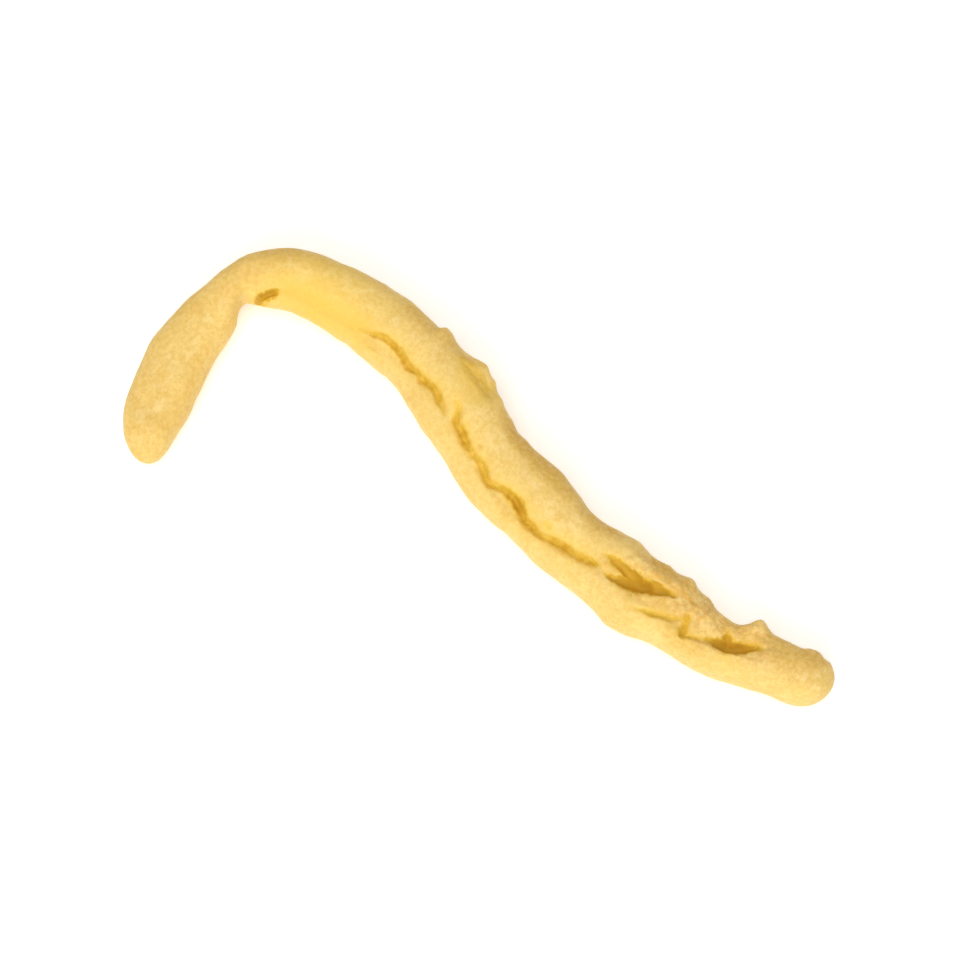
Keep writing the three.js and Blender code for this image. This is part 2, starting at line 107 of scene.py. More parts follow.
# %% Write down the middle line
# It is seen from above. outer and inner say how far the dough reaches to its two sides.
STRAND = columns(
    "x y outer inner",
    (-23.1, 1.0, 2.4, 2.3),
    (-22.8, 3.8, 2.4, 2.3),
    (-22.3, 5.4, 2.4, 2.3),
    (-21.0, 8.4, 2.4, 2.35),
    (-20.1, 9.8, 2.3, 2.2),
    (-19.2, 11.1, 2.1, 2.12),
    (-18.1, 12.3, 1.85, 1.8),
    (-16.8, 13.2, 2.0, 0.95),
    (-15.3, 13.8, 2.25, 1.6),
    (-13.6, 14.0, 2.5, 1.95),
    (-12.0, 13.8, 2.5, 2.1),
    (-9.0, 12.5, 2.5, 2.5),
    (-6.3, 10.6, 2.8, 2.55),
    (-3.8, 8.4, 2.5, 2.7),
    (-1.8, 5.8, 2.75, 3.0),
    (0.0, 2.9, 2.7, 2.92),
    (1.9, 0.2, 2.8, 3.1),
    (4.1, -2.2, 3.0, 2.9),
    (6.3, -4.5, 2.6, 2.78),
    (8.8, -6.6, 2.78, 2.62),
    (11.3, -8.5, 2.7, 3.02),
    (14.0, -10.3, 2.6, 2.4),
    (15.3, -11.2, 2.2, 2.4),
    (16.7, -12.0, 1.9, 2.4),
    (18.1, -12.6, 1.8, 2.2),
    (19.6, -13.2, 2.1, 2.1),
    (21.1, -13.7, 1.9, 2.1),
    (22.6, -14.2, 1.7, 2.25),
    (24.9, -14.65, 1.85, 1.95),
)
STRAND["along"] = np.concatenate(
    ([0.0], np.cumsum(np.hypot(np.diff(STRAND["x"]), np.diff(STRAND["y"]))))
)
LENGTH = STRAND["along"][-1]
print("strand along its middle line, mm:", round(LENGTH, 1))

# %% Write down the heights
# The lowest and highest point, and the share of its thickness that the lip lies lower.
HEIGHTS = columns(
    "along base top lip",
    (0.0, -0.1, 3.4, 0.0),
    (4.5, -0.15, 3.7, 0.0),
    (8.5, 0.0, 4.0, 0.0),
    (12.5, 0.5, 4.6, 0.05),
    (16.0, 0.9, 5.1, 0.35),
    (20.0, 0.4, 4.8, 0.3),
    (24.0, -0.1, 4.6, 0.25),
    (29.0, -0.15, 4.9, 0.22),
    (33.0, 0.3, 5.2, 0.2),
    (38.0, 0.4, 5.0, 0.2),
    (43.0, 0.1, 4.9, 0.16),
    (48.0, -0.1, 4.6, 0.15),
    (53.0, -0.15, 4.6, 0.05),
    (57.0, -0.15, 4.4, 0.0),
    (61.0, -0.1, 4.0, 0.0),
    (64.0, -0.1, 4.1, 0.0),
    (66.9, 0.1, 4.0, 0.0),
)
print("highest point, mm:", HEIGHTS["top"].max())

# %% Write down the valley between roll and lip
# Its place left (+) of the middle line, and its depth as a share of the upper half's height.
VALLEY = columns(
    "along across depth",
    (0.0, -2.0, 0.0),
    (14.0, -0.8, 0.0),
    (17.5, -0.8, 0.18),
    (22.0, -1.4, 0.2),
    (30.0, -1.3, 0.16),
    (34.0, -1.1, 0.14),
    (39.5, -1.5, 0.16),
    (44.0, -1.5, 0.16),
    (49.0, -0.5, 0.12),
    (54.0, -0.6, 0.1),
    (58.0, -0.4, 0.14),
    (62.0, 0.8, 0.08),
    (66.9, 1.0, 0.0),
)
print("valley:", len(VALLEY["along"]), "rows")

# %% Write down the crags and dents
# Where they are, how far they reach before and after it, their angle round the section (0 is the
# outer side, 90 the top), how far round it they reach, how far they stand out, and how blunt
# they are: 2 is a smooth swelling, less is more pointed, more is flat on top. A dent has a rise
# below 0.
CRAGS = columns(
    "along before after angle spread rise blunt",
    (14.5, 0.4, 0.3, 180, 60, -0.22, 1.2),
    (23.6, 0.8, 0.8, 180, 30, -0.1, 2.0),
    (28.9, 0.3, 0.8, 20, 30, 0.45, 2.5),
    (32.4, 1.2, 1.0, 22, 26, 0.75, 1.5),
    (33.5, 0.4, 0.5, 16, 20, 0.3, 1.5),
    (34.8, 0.6, 0.9, 20, 30, 0.25, 1.5),
    (37.5, 0.8, 0.8, 15, 35, -0.2, 2.0),
    (49.8, 1.0, 1.2, 20, 30, 0.25, 1.5),
    (51.2, 1.6, 2.4, 60, 15, 0.3, 1.5),
    (51.2, 1.0, 0.5, 180, 30, 0.15, 1.5),
    (52.8, 0.7, 0.8, 25, 30, 0.25, 1.5),
    (53.5, 0.9, 0.9, 180, 30, -0.17, 2.0),
    (54.6, 0.8, 0.6, 25, 35, 0.37, 2.0),
    (56.5, 0.4, 0.35, 22, 25, 0.12, 2.0),
    (57.3, 0.8, 0.8, 75, 20, 0.2, 1.5),
    (60.6, 0.8, 0.9, 24, 28, 0.9, 2.0),
    (65.4, 0.9, 0.5, 15, 32, 0.28, 3.0),
    (66.3, 0.25, 0.35, 30, 30, 0.12, 2.0),
)
print("crags and dents:", len(CRAGS["along"]))

# %% Write down how the section is shaped
# How far from its ends the strand rounds off, seen from above and, for the tip, from the side.
PADDLE_TIP_LENGTH = 5.4
PADDLE_TIP_RISE = 2.6
FAR_END_LENGTH = 2.4
# How boxy the oval is: 2 is a true ellipse, and more is boxier.
TOP_SQUARENESS = 2.5
BOTTOM_SQUARENESS = 2.5
# How far the valley's two sides reach, and how far to either side of it the step down spreads.
VALLEY_LIP_SIDE = 0.45
VALLEY_ROLL_SIDE = 1.1
LIP_STEP = 0.9
# The lumps' height, and each wave's share, its angle in radians for each millimetre along and
# for each radian round the section, and its start.
LUMP_HEIGHT = 0.07
LUMP_WAVES = ((0.5, 0.9, 1, 0), (0.3, 1.7, -2, 1), (0.2, 3.1, 3, 2))
print("lumps, mm:", LUMP_HEIGHT)

# %% [markdown]
# ## Reading between the rows
#
# Dough bends smoothly, so a size between two rows lies on a smooth curve through them. A curve
# object could do this, but here whole arrays of places are read at once, and a cubic through
# the rows is a few lines.

# %% Read the tables on a smooth curve
SIDE_STEP = 0.05


def read(table, column, along):
    """One column of a table at places along the strand."""
    at = table["along"]
    value = table[column]
    rows = np.arange(len(at))
    after = np.minimum(rows + 1, len(at) - 1)
    before = np.maximum(rows - 1, 0)
    slope = (value[after] - value[before]) / (at[after] - at[before])
    place = np.clip(along, at[0], at[-1])
    i = np.clip(np.searchsorted(at, place) - 1, 0, len(at) - 2)
    span = at[i + 1] - at[i]
    t = (place - at[i]) / span
    keep = 2 * t**3 - 3 * t**2 + 1
    bend = (t**3 - 2 * t**2 + t) * slope[i] + (t**3 - t**2) * slope[i + 1]
    return keep * value[i] + (1 - keep) * value[i + 1] + span * bend


def middle(along):
    """The middle line's place and its left-hand side, seen from above."""
    ahead = np.minimum(along + SIDE_STEP, LENGTH)
    behind = np.maximum(along - SIDE_STEP, 0)
    dx = read(STRAND, "x", ahead) - read(STRAND, "x", behind)
    dy = read(STRAND, "y", ahead) - read(STRAND, "y", behind)
    run = np.hypot(dx, dy)
    return read(STRAND, "x", along), read(STRAND, "y", along), -dy / run, dx / run


def place(along, across, height):
    """Points of the noodle from their place along and across the strand."""
    x, y, left_x, left_y = middle(along)
    return np.stack((x + left_x * across, y + left_y * across, height), axis=-1)


def smooth_step(value, low, high):
    """0 below low, 1 above high, and a smooth rise between them."""
    t = np.clip((value - low) / (high - low), 0, 1)
    return t * t * (3 - 2 * t)


print("half way along, mm:", [round(float(side), 1) for side in middle(LENGTH / 2)[:2]])

# %% [markdown]
# ## Where it cracked
#
# Where the dough tore it left cracks. Hardly one has a hard edge: the dough sinks beside the
# crack before it opens, more gently on one side than on the other, and the bottom is narrow.
# Only the deepest ones have a steep wall under the roll. A crack could be drawn as an outline on
# the skin, but its path, its width and how its two sides fall off say the same in a few numbers
# that are easy to change.

# %% Write down where the cracks run
# deep is the depth for each millimetre of width. roll and lip say how far the crack's two sides
# reach, the outer and the inner one, as a share of its width. blunt makes the bottom flatter and
# the walls steeper. A path's rows are the place along and across the strand, and the width.
CRACKS = {
    "gap_under_bend": {"deep": 1.9, "roll": 0.3, "lip": 0.8, "blunt": 1.3, "path": columns(
        "along across width",
        (14.3, -1.35, 0.35),
        (14.9, -1.33, 0.44),
        (15.5, -1.24, 0.48),
        (16.0, -1.15, 0.48),
        (16.6, -1.05, 0.42),
        (17.0, -0.98, 0.28),
        (17.3, -0.92, 0.1),
    )},
    "faint_valley": {"deep": 0.08, "roll": 1.1, "lip": 1.1, "blunt": 1.2, "path": columns(
        "along across width",
        (17.9, -1.0, 0.5),
        (19.3, -1.3, 0.8),
        (21.1, -1.45, 0.9),
        (23.0, -1.5, 0.8),
        (24.2, -1.4, 0.5),
    )},
    "first_stretch": {"deep": 1.5, "roll": 0.35, "lip": 0.3, "blunt": 1.2, "path": columns(
        "along across width",
        (24.2, -1.3, 0.15),
        (25.2, -1.2, 0.35),
        (26.2, -0.9, 0.45),
        (27.2, -0.9, 0.55),
        (28.1, -1.05, 0.6),
        (29.2, -1.3, 0.5),
        (30.2, -1.15, 0.5),
        (31.0, -1.15, 0.52),
        (31.8, -0.95, 0.5),
        (32.8, -1.1, 0.45),
        (33.9, -1.3, 0.12),
    )},
    "second_stretch": {"deep": 1.5, "roll": 0.35, "lip": 0.3, "blunt": 1.2, "path": columns(
        "along across width",
        (33.0, -0.2, 0.12),
        (34.0, -0.35, 0.4),
        (34.6, -0.85, 0.55),
        (35.6, -1.0, 0.6),
        (37.0, -1.2, 0.45),
        (38.0, -1.15, 0.5),
        (39.4, -1.5, 0.45),
        (40.4, -1.1, 0.5),
        (41.8, -1.1, 0.7),
        (43.0, -1.5, 0.6),
        (44.4, -1.4, 0.45),
        (45.5, -1.05, 0.55),
        (46.4, -0.85, 0.58),
        (47.2, -0.75, 0.5),
        (48.2, -0.55, 0.4),
        (49.1, -0.3, 0.12),
    )},
    "hollow": {"deep": 1.15, "roll": 0.37, "lip": 0.3, "blunt": 1.8, "path": columns(
        "along across width",
        (49.2, -0.6, 0.1),
        (49.8, -0.56, 0.4),
        (50.5, -0.42, 0.6),
        (51.2, -0.15, 0.95),
        (52.0, 0.2, 1.1),
        (52.8, 0.48, 0.8),
        (53.5, 0.63, 0.62),
        (54.0, 0.78, 0.5),
        (54.25, 0.84, 0.3),
    )},
    "hollow_prong": {"deep": 1.0, "roll": 0.35, "lip": 0.4, "blunt": 2.0, "path": columns(
        "along across width",
        (48.6, 0.45, 0.15),
        (49.3, 0.5, 0.5),
        (50.1, 0.47, 0.65),
        (50.9, 0.38, 0.85),
        (51.7, 0.3, 0.95),
    )},
    "below_hollow": {"deep": 1.3, "roll": 0.35, "lip": 0.35, "blunt": 1.2, "path": columns(
        "along across width",
        (52.0, -1.5, 0.1),
        (52.9, -1.25, 0.25),
        (53.6, -1.05, 0.35),
        (54.2, -0.82, 0.33),
        (54.8, -0.62, 0.38),
        (55.3, -0.3, 0.33),
        (55.8, 0.1, 0.35),
    )},
    "step_down": {"deep": 1.5, "roll": 0.4, "lip": 0.4, "blunt": 1.2, "path": columns(
        "along across width",
        (55.8, 0.15, 0.35),
        (56.0, -0.45, 0.4),
        (56.2, -1.1, 0.4),
    )},
    "pit": {"deep": 1.2, "roll": 0.5, "lip": 0.3, "blunt": 1.5, "path": columns(
        "along across width",
        (56.1, -1.12, 0.38),
        (56.8, -0.88, 0.28),
        (57.4, -0.64, 0.3),
        (58.0, -0.46, 0.4),
        (58.6, -0.35, 0.65),
        (59.3, -0.28, 0.9),
        (59.9, -0.06, 0.75),
        (60.5, 0.15, 0.6),
        (61.0, 0.4, 0.42),
        (61.5, 0.66, 0.15),
    )},
    "pit_notch": {"deep": 1.4, "roll": 0.45, "lip": 0.45, "blunt": 1.4, "path": columns(
        "along across width",
        (58.8, 0.95, 0.12),
        (58.85, 0.72, 0.26),
        (58.95, 0.42, 0.44),
        (59.1, 0.05, 0.65),
    )},
    "behind_flap": {"deep": 0.6, "roll": 0.7, "lip": 1.2, "blunt": 1.2, "path": columns(
        "along across width",
        (31.5, 1.85, 0.15),
        (32.3, 2.0, 0.4),
        (33.0, 2.15, 0.5),
        (33.8, 2.3, 0.5),
        (34.6, 2.45, 0.15),
    )},
    "dash_on_roll": {"deep": 0.8, "roll": 0.5, "lip": 0.5, "blunt": 1.2, "path": columns(
        "along across width",
        (44.0, -0.62, 0.1),
        (44.4, -0.68, 0.3),
        (44.8, -0.75, 0.1),
    )},
}
# blunt is for the side of the lip. Towards the roll it is GENTLE_ROLL_SIDE, but for these cracks.
GENTLE_ROLL_SIDE = 1.2
STEEP_ROLL_SIDE = {"gap_under_bend": 2.5, "hollow": 1.8, "hollow_prong": 1.8, "pit": 1.8}
print("cracks:", ", ".join(CRACKS))

# %% [markdown]
# ## The strand's skin
#
# Each section of the strand is an oval: a little boxy, flatter below, and folded on top by the
# valley and the step down to the lip. The real dough never has a true oval, so three slow waves
# wind round it, crags stand out where it tore, and it is dented in a few places. A swept curve
# with one profile could not change its section on the way, so the skin is a grid of points from
# a formula.

# %% Shape one section after another


def rounding(along, tip=PADDLE_TIP_LENGTH):
    """The share of its full size that the strand has at its rounded ends."""

    def quarter(distance, length):
        t = np.clip(distance / length, 0, 1)
        return np.sqrt(1 - (1 - t) ** 2)

    return quarter(along, tip) * quarter(LENGTH - along, FAR_END_LENGTH)


def fold(along, across):
    """The valley and the step down to the lip, as a share of the upper half's height."""
    past = across - read(VALLEY, "across", along)
    side = np.where(past < 0, VALLEY_LIP_SIDE, VALLEY_ROLL_SIDE)
    valley = read(VALLEY, "depth", along) * np.exp(-((past / side) ** 2))
    step = smooth_step(-past, -LIP_STEP, LIP_STEP)
    return (1 - valley) * (1 - read(HEIGHTS, "lip", along) * step)


def lumps(along, angle):
    """Gentle swellings, from three waves that wind round the strand."""
    waves = sum(
        share * np.sin(forward * along + around * angle + start)
        for share, forward, around, start in LUMP_WAVES
    )
    return LUMP_HEIGHT * rounding(along) * waves


def crags(along, angle):
    """How far the crags stand out of the skin, or the dents go in."""

    def peak(distance, reach, blunt):
        return np.exp(-(np.abs(distance / reach) ** blunt))

    rise = 0
    for at, before, after, turn, spread, height, blunt in zip(*CRAGS.values()):
        past = along - at
        turned = np.degrees(angle) - turn
        around = np.where(turned > 180, turned - 360, turned)
        reach = np.where(past < 0, before, after)
        rise = rise + height * peak(past, reach, blunt) * peak(around, spread, blunt)
    return rise


def skin(along, angle):
    """A point of the skin: 0 is the outer side, a quarter turn the top, a half the inner side."""
    size = rounding(along)
    outer = read(STRAND, "outer", along)
    inner = read(STRAND, "inner", along)
    low = read(HEIGHTS, "base", along)
    high = read(HEIGHTS, "top", along)
    power = np.where(np.sin(angle) > 0, 2 / TOP_SQUARENESS, 2 / BOTTOM_SQUARENESS)
    sideways = np.sign(np.cos(angle)) * np.abs(np.cos(angle)) ** power
    upwards = np.sign(np.sin(angle)) * np.abs(np.sin(angle)) ** power
    across = (outer - inner) / 2 + (outer + inner) / 2 * sideways * size
    rise = (high - low) / 2 * upwards * rounding(along, PADDLE_TIP_RISE)
    rise = np.where(rise > 0, rise * fold(along, across), rise)
    swell = crags(along, angle) + lumps(along, angle)
    return place(
        along,
        across + swell * np.cos(angle),
        (low + high) / 2 + rise + swell * np.sin(angle),
    )


def top_height(along, across):
    """The skin's height above a point between the outer and the inner side."""
    outer = read(STRAND, "outer", along)
    inner = read(STRAND, "inner", along)
    low = read(HEIGHTS, "base", along)
    high = read(HEIGHTS, "top", along)
    out = np.minimum(np.abs((2 * across - outer + inner) / (outer + inner)), 1)
    rise = (high - low) / 2 * (1 - out**TOP_SQUARENESS) ** (1 / TOP_SQUARENESS)
    return (low + high) / 2 + rise * fold(along, across)


print("top of the skin half way along, mm:", round(float(top_height(LENGTH / 2, 0.0)), 1))

# %% Close the grid into a mesh
# The skin's steps along and round the strand are much finer than the fixed model's.
RING_STEP = 0.115
TOP_SIDES = 120
BOTTOM_SIDES = 42
END_STEPS = np.array((0.02, 0.06, 0.1))


def add_object(name, points, faces=(), **attributes):
    """A mesh object from points in millimetres, with any named number for each point."""
    mesh = bpy.data.meshes.new(name)
    mesh.from_pydata((np.asarray(points) * MM).tolist(), [], list(faces))
    for label, values in attributes.items():
        mesh.attributes.new(label, "FLOAT", "POINT").data.foreach_set("value", values)
    made = bpy.data.objects.new(name, mesh)
    bpy.context.scene.collection.objects.link(made)
    return made


def strand_object():
    """The strand as one closed grid, finer on top, with a single point at each end."""
    inside = np.arange(END_STEPS[-1] + RING_STEP, LENGTH - END_STEPS[-1], RING_STEP)
    along = np.concatenate((END_STEPS, inside, LENGTH - END_STEPS[::-1]))
    top = np.arange(TOP_SIDES) / TOP_SIDES * math.pi
    bottom = math.pi + np.arange(BOTTOM_SIDES) / BOTTOM_SIDES * math.pi
    angle = np.concatenate((top, bottom))
    sides = len(angle)
    grid = skin(along[:, None], angle[None, :]).reshape(-1, 3)
    ends = np.array((0.0, LENGTH))
    centre = (read(STRAND, "outer", ends) - read(STRAND, "inner", ends)) / 2
    height = (read(HEIGHTS, "base", ends) + read(HEIGHTS, "top", ends)) / 2
    points = np.concatenate((grid, place(ends, centre, height)))
    near_pole, far_pole = len(grid), len(grid) + 1
    last = (len(along) - 1) * sides
    side = np.arange(sides)
    turned = (side + 1) % sides
    faces = [(near_pole, b, a) for a, b in zip(side, turned)]
    faces += [(far_pole, last + a, last + b) for a, b in zip(side, turned)]
    for ring in range(0, last, sides):
        corners = (ring + side, ring + turned, ring + sides + turned, ring + sides + side)
        faces += np.stack(corners, axis=-1).tolist()
    return add_object("strand", points, faces)


strand = strand_object()
print("strand:", len(strand.data.vertices), "points,", len(strand.data.polygons), "faces")

# %% [markdown]
# ## Nodes as sentences
#
# The next steps use Geometry Nodes, and the colours use shader nodes. They could be laid out by
# hand in the node editor, but written down they can be read and changed. Both kinds of tree are
# written the same way. A Signal is a node's output that takes part in sums, so that
# 1 - mask adds a Math node by itself. A Tree adds any other node from its kind, its settings and
# what goes into its sockets. A Recipe is a tree that makes shapes, with named inputs.

# %% Let a node's output take part in sums


class Signal:
    """A node's output. Sums and products with it add Math nodes to its tree."""

    def __init__(self, tree, node, output=0):
        self.tree = tree
        self.node = node
        self.output = node.outputs[output]

    def also(self, output):
        """Another output of the same node."""
        return Signal(self.tree, self.node, output)

    def __add__(self, other):
        return self.tree.math("ADD", self, other)

    def __sub__(self, other):
        return self.tree.math("SUBTRACT", self, other)

    def __rsub__(self, other):
        return self.tree.math("SUBTRACT", other, self)

    def __mul__(self, other):
        return self.tree.math("MULTIPLY", self, other)

    def __truediv__(self, other):
        return self.tree.math("DIVIDE", self, other)

    def __rtruediv__(self, other):
        return self.tree.math("DIVIDE", other, self)

    __radd__ = __add__
    __rmul__ = __mul__


# %% Add nodes to a tree


class Tree:
    """Adds nodes to a tree, one call for each node."""

    def __init__(self, tree):
        self.tree = tree

    def node(self, kind, settings=None, sockets=None, output=0):
        """One node: its settings first, then the values or links of its sockets."""
        made = self.tree.nodes.new(kind)
        for name, value in (settings or {}).items():
            setattr(made, name, value)
        for name, value in (sockets or {}).items():
            if isinstance(value, Signal):
                self.tree.links.new(value.output, made.inputs[name])
            else:
                made.inputs[name].default_value = value
        return Signal(self, made, output) if made.outputs else None

    def math(self, operation, *values):
        """Maths on numbers, with one value for each socket."""
        return self.node("ShaderNodeMath", {"operation": operation}, dict(enumerate(values)))

    def vector(self, operation, first, second=(0, 0, 0)):
        """Vector maths. SCALE takes a number as its second value."""
        socket = 3 if operation == "SCALE" else 1
        output = "Value" if operation in ("LENGTH", "DOT_PRODUCT") else "Vector"
        settings = {"operation": operation}
        return self.node("ShaderNodeVectorMath", settings, {0: first, socket: second}, output)

    def span(self, value, low, high, start=0.0, end=1.0):
        """Turns low to high into start to end, smoothly, and holds it beyond them."""
        sockets = {"Value": value, 1: low, 2: high, 3: start, 4: end}
        return self.node("ShaderNodeMapRange", {"interpolation_type": "SMOOTHSTEP"}, sockets)

    def noise(self, place, size, detail=2.0, rough=0.5):
        """Soft noise whose lumps are about as large as size, in metres."""
        sockets = {"Vector": place, "Scale": 1 / size, "Detail": detail, "Roughness": rough}
        return self.node("ShaderNodeTexNoise", None, sockets)

    def swing(self, place, size):
        """Soft noise that swings between about -1 and 1."""
        return (self.noise(place, size) - 0.5) * 2

    def cells(self, place, size):
        """The distance to the nearest of many middles, which are about as far apart as size."""
        return self.node("ShaderNodeTexVoronoi", None, {"Vector": place, "Scale": 1 / size})


# %% Build trees that make shapes


class Recipe(Tree):
    """A geometry tree whose named inputs a modifier sets by their identifiers."""

    KINDS = (
        (bpy.types.Material, "NodeSocketMaterial"),
        (bpy.types.Object, "NodeSocketObject"),
        (int, "NodeSocketInt"),
        (float, "NodeSocketFloat"),
    )

    def __init__(self, name, values):
        super().__init__(bpy.data.node_groups.new(name, "GeometryNodeTree"))
        sides = self.tree.interface
        sides.new_socket("Geometry", in_out="OUTPUT", socket_type="NodeSocketGeometry")
        sides.new_socket("Geometry", in_out="INPUT", socket_type="NodeSocketGeometry")
        self.values = dict(values)
        self.identifiers = {}
        for label, value in values.items():
            kind = next(kind for form, kind in self.KINDS if isinstance(value, form))
            socket = sides.new_socket(label, in_out="INPUT", socket_type=kind)
            self.identifiers[label] = socket.identifier
        self.start = self.tree.nodes.new("NodeGroupInput")

    def given(self, name):
        """A named input of the tree."""
        return Signal(self, self.start, name)

    def attribute(self, name):
        """A named number that the points carry."""
        return self.node("GeometryNodeInputNamedAttribute", None, {"Name": name})

    def keep(self, geometry, name, value):
        """Keeps a number on the points, under a name."""
        settings = {"data_type": "FLOAT", "domain": "POINT"}
        sockets = {"Geometry": geometry, "Name": name, "Value": value}
        return self.node("GeometryNodeStoreNamedAttribute", settings, sockets)

    def end(self, geometry):
        """Ends the tree with real geometry in the dough's material."""
        real = self.node("GeometryNodeRealizeInstances", None, {"Geometry": geometry})
        sockets = {"Geometry": real, "Material": self.given("Material")}
        dressed = self.node("GeometryNodeSetMaterial", None, sockets)
        self.node("NodeGroupOutput", None, {"Geometry": dressed})

    def make(self, piece):
        """The mesh that the tree makes of a piece. The piece itself stays as it was."""
        modifier = piece.modifiers.new(self.tree.name, "NODES")
        modifier.node_group = self.tree
        for label, value in self.values.items():
            modifier[self.identifiers[label]] = value
        mesh = settled(piece)
        piece.modifiers.remove(modifier)
        return mesh


def settled(piece):
    """A plain mesh of a piece with its modifiers applied."""
    graph = bpy.context.evaluated_depsgraph_get()
    return bpy.data.meshes.new_from_object(piece.evaluated_get(graph), depsgraph=graph)


# %% Name the material that the shapes are dressed in
dough = bpy.data.materials.new("dough")
dough.use_nodes = True
print("materials so far:", len(bpy.data.materials))

# %% [markdown]
# ## Pressing in the cracks
#
# Each crack is a line of points on the skin that know the crack's depth and how far its two sides
# reach. Geometry Nodes look up, for every point of the skin, the nearest point of the line, and
# note how deep the skin sinks there. The place they look from is shaken with noise, so the edges
# come out ragged. One crack is noted after another, and where two meet they merge. Then
# the skin is pressed in once and softened there, as wet dough rounds every edge. Cutting with a
# thin solid would leave hard, clean edges, which torn dough never has.

# %% Lay a crack's line on the skin
LINE_STEP = 0.04


def crack_line(name, deep, roll, lip, path):
    """An object of loose points along one crack that know its depth, its sides and its left."""
    run = np.hypot(np.diff(path["along"]), np.diff(path["across"])).sum()
    along = np.linspace(path["along"][0], path["along"][-1], round(run / LINE_STEP))
    across = read(path, "across", along)
    _, _, left_x, left_y = middle(along)
    width = read(path, "width", along)
    knows = {"sinks": deep * width, "roll": roll * width, "lip": lip * width}
    knows.update({"left_x": left_x, "left_y": left_y})
    return add_object(name, place(along, across, top_height(along, across)), **knows)


print("a crack has a point every", LINE_STEP, "mm")

# %% Name what a crack's edges are like
# Wander shakes the path, Raggedness the edges and Unevenness the depth. Glow is how many times as
# far as the crack the painted glow beside it reaches. Where two cracks meet, Merging is how
# clearly the deeper one wins. Line, Blunt and Roll Blunt are set again for each crack.
note = Recipe(
    "note_crack",
    {
        "Line": strand,
        "Wander": 0.2 * MM,
        "Wander Size": 0.5 * MM,
        "Unevenness": 0.2,
        "Unevenness Size": 0.8 * MM,
        "Raggedness": 0.8,
        "Rag Size": 0.24 * MM,
        "Blunt": 1.2,
        "Roll Blunt": GENTLE_ROLL_SIDE,
        "Glow": 3.0,
        "Merging": 4.0,
        "Material": dough,
    },
)
print("crack inputs:", ", ".join(note.values))

# %% Find the nearest point of the line
line = note.node("GeometryNodeObjectInfo", None, {"Object": note.given("Line")}, "Geometry")
spot = note.node("GeometryNodeInputPosition")
shake = note.noise(spot, note.given("Wander Size")).also("Color")
shake = note.vector("SUBTRACT", shake, (0.5, 0.5, 0.5))
seen_from = note.vector("ADD", spot, note.vector("SCALE", shake, 2 * note.given("Wander")))
sockets = {"Geometry": line, "Sample Position": seen_from}
nearest = note.node("GeometryNodeSampleNearest", {"domain": "POINT"}, sockets)


def of_the_line(value, form="FLOAT"):
    """A value at the nearest point of the line."""
    settings = {"data_type": form, "domain": "POINT"}
    sockets = {"Geometry": line, "Value": value, "Index": nearest}
    return note.node("GeometryNodeSampleIndex", settings, sockets)


def known(name):
    """What the nearest point of the line knows."""
    return of_the_line(note.attribute(name))


print("tree so far:", len(note.tree.nodes), "nodes")

# %% Tell the side of the roll from the side of the lip
# facing is 1 straight to the left of the line, where the roll is, and -1 straight to the right.
# Between these two values one side's shape blends into the other's.
BLEND_FROM = -0.6
BLEND_TO = 0.6
past = note.vector("SUBTRACT", seen_from, of_the_line(spot, "FLOAT_VECTOR"))
left = note.node("ShaderNodeCombineXYZ", None, {"X": known("left_x"), "Y": known("left_y")})
facing = note.vector("DOT_PRODUCT", note.vector("NORMALIZE", past), left)
side = note.span(facing, BLEND_FROM, BLEND_TO)
reach = (known("lip") + side * (known("roll") - known("lip"))) * MM
blunt = note.given("Blunt") + side * (note.given("Roll Blunt") - note.given("Blunt"))
print("tree so far:", len(note.tree.nodes), "nodes")

# %% Note how deep a crack is at each point
ragged = note.swing(spot, note.given("Rag Size")) * note.given("Raggedness")
away = note.vector("LENGTH", past) * (1 + ragged) / reach


def falls_off(distance):
    """1 on the crack's line, and less the further away, with soft edges."""
    power = note.math("POWER", distance, blunt)
    return note.math("POWER", 1 / math.e, power)


uneven = note.swing(spot, note.given("Unevenness Size"))
sinks = known("sinks") * (1 + uneven * note.given("Unevenness")) * falls_off(away)
glow = falls_off(away / note.given("Glow"))
merging = note.given("Merging")
both = note.math("POWER", note.attribute("deep"), merging) + note.math("POWER", sinks, merging)
deeper = note.math("POWER", both, 1 / merging)
wider = note.math("MAXIMUM", note.attribute("glow"), glow)
noted = note.keep(note.given("Geometry"), "deep", deeper)
note.end(note.keep(noted, "glow", wider))
print("whole tree:", len(note.tree.nodes), "nodes")

# %% Note one crack after another
for name, crack in CRACKS.items():
    note.values["Blunt"] = crack.pop("blunt")
    note.values["Roll Blunt"] = STEEP_ROLL_SIDE.get(name, GENTLE_ROLL_SIDE)
    note.values["Line"] = crack_line(name, **crack)
    strand.data = note.make(strand)
    bpy.data.objects.remove(note.values["Line"])
deepest = max(point.value for point in strand.data.attributes["deep"].data)
print("deepest crack, mm:", round(deepest, 2))

# %% Press the cracks into the skin
# Downwards is how far a crack goes straight down instead of at a right angle to the skin.
# Softening is how often each point is moved towards its neighbours. It starts where the glow
# round a crack is Soft From, and is full where it is Soft Full.
press = Recipe(
    "press_cracks",
    {
        "Unit": MM,
        "Downwards": 0.8,
        "Softening": 2,
        "Soft From": 0.1,
        "Soft Full": 0.5,
        "Material": dough,
    },
)
outwards = press.node("GeometryNodeInputNormal")
sockets = {0: press.given("Downwards"), 4: outwards, 5: (0, 0, 1)}
way = press.node("ShaderNodeMix", {"data_type": "VECTOR"}, sockets, output=1)
inwards = press.vector("SCALE", way, press.attribute("deep") * -1 * press.given("Unit"))
sockets = {"Geometry": press.given("Geometry"), "Offset": inwards}
pressed = press.node("GeometryNodeSetPosition", None, sockets)
softly = press.span(press.attribute("glow"), press.given("Soft From"), press.given("Soft Full"))
spot = press.node("GeometryNodeInputPosition")
sockets = {"Value": spot, "Iterations": press.given("Softening"), "Weight": softly}
